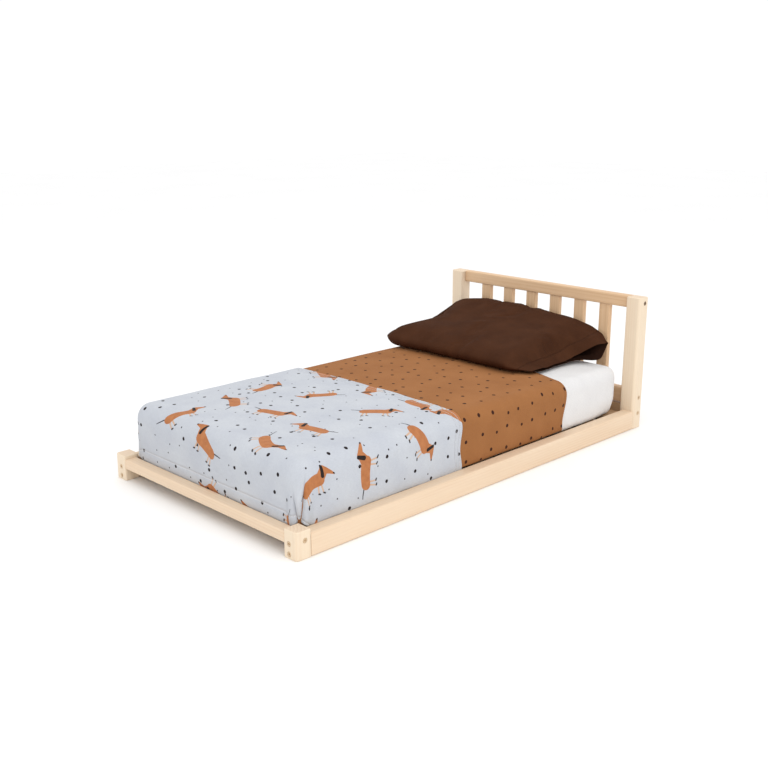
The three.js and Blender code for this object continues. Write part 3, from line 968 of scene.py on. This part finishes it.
def creases(points):
    """The fine folds of the simulated cloth, without its overall shape. They fade towards the seams."""
    u, v, _ = pillow_grid()
    broad = blurred(points, 0, 60)
    broader = blurred(broad, 1, 60)
    inside = (1 - smooth_step(np.abs(v), 0.72, 0.92))[..., None]
    return (points - broad) + inside * (broad - broader)


def soft_floor(values, limit, softness):
    """Values held above the limit, with a smooth bend near it."""
    return limit + softness * np.logaddexp(0, (values - limit) / softness)


def across(points):
    """The same grid with every point swapped for the one straight below or above it, in the other layer."""
    return points[:, -np.arange(PILLOW_AROUND) % PILLOW_AROUND]


def keep_apart(points, angle, profile):
    """Lifts the upper layer wherever the bedding or the headboard has pressed the two layers together."""
    normal = np.stack([np.zeros_like(angle), -np.sin(angle), np.cos(angle)], axis=-1)
    apart = ((points - across(points)) * normal).sum(axis=-1)
    upper = np.arange(PILLOW_AROUND) <= PILLOW_AROUND // 2
    lift = np.where(upper, soft_floor(apart, PILLOW_GAP * profile, 0.0005) - apart, 0)
    return points + lift[..., None] * normal


def pillow_shape(folds):
    """Lays the filled pillow down: its front lies on the bedding and its back climbs the headboard."""
    u, v, side = pillow_grid()
    blunt = (1 - (1 - np.clip(u / 0.045, 0, 1)) ** 2.6) ** 0.36
    taper = 1 - 0.86 * smooth_step(u, 0.78, 1.0)
    profile = np.clip(1 - np.abs(v) ** 2.8, 0, 1) ** 0.62
    full = 0.80 + 0.20 * np.sin(np.pi * np.clip(u * 1.05, 0, 1)) ** 0.8
    w = side * PILLOW["half"] * full * blunt * taper * profile
    part = 0.026 * np.exp(-((v - 0.64) / 0.27) ** 2) * np.clip(1 - v ** 6, 0, 1)
    w += side * (0.0012 + part) * smooth_step(u, 0.87, 1.0)
    folds = folds * (1 - 0.8 * smooth_step(u, 0.84, 0.99))[..., None]
    w += folds[..., 2]
    x = PILLOW["left"] + u * (PILLOW["right"] - PILLOW["left"]) + 0.6 * folds[..., 0]
    x -= 0.050 * smooth_step(u, 0.72, 1.0) * (1 - smooth_step(v, 0.15, 0.70))
    x -= 0.008 * (1 - smooth_step(u, 0.0, 0.3)) * (1 - smooth_step(v, -0.2, 0.6))
    corner = 0.050 * smooth_step(u, 0.84, 1.03) + 0.020 * (1 - smooth_step(u, 0.0, 0.05))
    near = 0.020 * smooth_step(u, 0.86, 1.0)
    depth = PILLOW["depth"]
    s = corner + (v + 1) / 2 * (depth - near - corner) + 0.6 * folds[..., 1]

    path = np.linspace(0, depth, 200)
    slope = PILLOW["slope"] * smooth_step(path, 0.08, depth)
    step = path[1] - path[0]
    y_path = PILLOW["front"] + np.cumsum(np.cos(slope)) * step
    z_path = PILLOW["rest"] + PILLOW["seam"] + np.cumsum(np.sin(slope)) * step
    angle = np.interp(s, path, slope)
    y = np.interp(s, path, y_path) - w * np.sin(angle)
    z = np.interp(s, path, z_path) + w * np.cos(angle)
    climb = ((v + 1) / 2) ** 1.2
    z -= (0.012 * smooth_step(u, 0.45, 0.70) + 0.022 * smooth_step(u, 0.70, 0.97)) * climb
    z -= 0.022 * smooth_step(u, 0.955, 1.0) * climb
    z -= 0.020 * (1 - smooth_step(u, 0.02, 0.20)) * climb
    z -= 0.018 * smooth_step(u, 0.80, 1.0) * (1 - climb)
    z = soft_floor(z, PILLOW["rest"], 0.003)
    y = -soft_floor(-y, -PILLOW["wall"], 0.003)
    return keep_apart(np.stack([x, y, z], axis=-1), angle, profile)


def mesh_from_tube(name, points, capped):
    stations, around = points.shape[:2]
    faces = tube_faces(stations, around)
    half = around // 2
    ends = [0, (stations - 1) * around] if capped else [0]
    for base in ends:
        faces += [(base + j, base + (j + 1) % around, base + (around - j - 1) % around,
                   base + (around - j) % around) for j in range(1, half - 1)]
        faces += [(base, base + 1, base + around - 1), (base + half, base + half - 1, base + half + 1)]
    mesh = bpy.data.meshes.new(name)
    mesh.from_pydata([tuple(p) for p in points.reshape(-1, 3)], [], faces)
    cloth = mesh.uv_layers.new(name="cloth")
    hems = mesh.uv_layers.new(name="hems")
    for loop in mesh.loops:
        i, j = divmod(loop.vertex_index, around)
        u = i / (PILLOW_STATIONS - 1) * PILLOW["flat_long"]
        v = abs(2 * j / around - 1) * PILLOW["flat_deep"]
        cloth.data[loop.index].uv = (u, v)
        hems.data[loop.index].uv = (PILLOW["flat_long"] - u, v)
    bm = bmesh.new()
    bm.from_mesh(mesh)
    bmesh.ops.recalc_face_normals(bm, faces=bm.faces)
    if bm.calc_volume(signed=True) < 0:
        bmesh.ops.reverse_faces(bm, faces=bm.faces)
    bm.to_mesh(mesh)
    bm.free()
    piece = bpy.data.objects.new(name, mesh)
    scene.collection.objects.link(piece)
    shade_smooth(piece)
    return piece


def raise_seams(points):
    """A thin sewn ridge along the front and back edges of the case."""
    points = points.copy()
    middle = points.mean(axis=1, keepdims=True)
    for j in (0, PILLOW_AROUND // 2):
        way = points[:, j] - middle[:, 0]
        way[:, 0] = 0
        points[:, j] += 0.0016 * way / np.linalg.norm(way, axis=1, keepdims=True)
    return points


def shrink_tube(points, inset, keep):
    """The filling inside the case, drawn in from both layers, the seams and the open end."""
    _, v, side = pillow_grid()
    ring = (FILLING_WIDTH * v[0] + 1) * PILLOW_AROUND / 4
    ring = np.where(side[0] > 0, ring, PILLOW_AROUND - ring)
    low = np.floor(ring).astype(int)
    part = (ring - low)[None, :, None]
    inner = points[2:keep]
    inner = inner[:, low % PILLOW_AROUND] * (1 - part) + inner[:, (low + 1) % PILLOW_AROUND] * part
    middle = (inner + across(inner)) / 2
    half = (inner - across(inner)) / 2
    reach = np.maximum(np.linalg.norm(half, axis=2, keepdims=True), 1e-6)
    drawn = np.clip(1 - inset / reach, 0.1, 1) * np.sqrt(1 - np.abs(v[2:keep, :, None]) ** 8)
    place = np.linspace(0, 1, inner.shape[0])[:, None, None]
    drawn = drawn * np.sqrt(1 - np.clip((place - 0.9) / 0.1, 0, 0.97) ** 2)
    return middle + half * drawn


def make_pillow():
    flat = flat_envelope()
    folds = creases(inflate(flat))
    points = pillow_shape(PILLOW["folds"] * folds)
    brown = plain_dye((0.072, 0.026, 0.0105), (0.054, 0.019, 0.0075))
    shell = mesh_from_tube("pillowcase", raise_seams(points), False)
    add_modifier(shell, "SOLIDIFY", thickness=0.0012, offset=-1.0, material_offset=1)
    add_modifier(shell, "SUBSURF", levels=1, render_levels=1)
    weave = fabric("brown_cotton_weave", brown, 0.0010, stitches=(CASE_STITCHES,), sheen=0.0,
                   thread=(0.05, 0.02, 0.012), gloss=0.05)
    shell.data.materials.append(weave)
    # The case's inner surface gets a near-black brown: painted shade inside the open end
    inside = plain_dye((0.026, 0.009, 0.004), (0.020, 0.007, 0.003))
    shell.data.materials.append(fabric("brown_cotton_inside", inside, 0.0010, sheen=0.0, gloss=0.05))
    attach(shell, "pillow")
    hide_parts("pillow")

    kept = PILLOW_STATIONS - FILLING_SHORT
    filling = mesh_from_tube("pillow_filling", shrink_tube(points, FILLING_INSET, kept), True)
    # The filling wears the same near-black brown, as painted shade inside the case
    filling.data.materials.append(fabric("filling_cover", inside, 0.0012, sheen=0.0, gloss=0.05))
    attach(filling, "pillow")


# ---- the frame's materials ----


def dress_node(name, material):
    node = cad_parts[name]
    node.data.materials.clear()
    node.data.materials.append(material)


def grain_axis(name):
    low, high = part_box(name)
    size = high - low
    return "XYZ"[max(range(3), key=lambda i: size[i])]


def pine_tone(name):
    """The tone of a wooden piece. The headboard's rails are darker than the posts, partly as painted shade,
    and the low rails and the pieces under the mattress are darker still, as painted shade."""
    if "post" in name:
        return "post"
    if "lower_rail" in name:
        return "low_rail"
    if any(word in name for word in ("cross", "bed_slat", "cleat")):
        return "cross_rail"
    return "headboard" if "headboard" in name else "rail"


def dress_frame():
    screws = plated("yellow_zinc", (0.74, 0.58, 0.40), (0.58, 0.42, 0.26))
    # The top rail's screws are given a darker tone than the other screws
    dark_screws = plated("dark_zinc", (0.30, 0.20, 0.12), (0.17, 0.11, 0.07))
    webbing = fabric("webbing_weave", plain_dye((0.78, 0.77, 0.73), (0.70, 0.69, 0.65)), 0.0022)
    for i, name in enumerate(sorted(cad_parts)):
        if "screw" in name:
            dress_node(name, dark_screws if "top_rail" in name else screws)
        elif "strap" in name:
            dress_node(name, webbing)
        elif any(word in name for word in ("post", "rail", "slat", "cleat")):
            axis = "Z" if "post" in name else grain_axis(name)
            dress_node(name, wood("wood_" + name, axis, 100 + i, *PINE_TONES[pine_tone(name)]))


make_camera()
make_studio()
dress_frame()
make_mattress()
make_fitted_sheet()
make_cover()
make_blanket()
make_pillow()
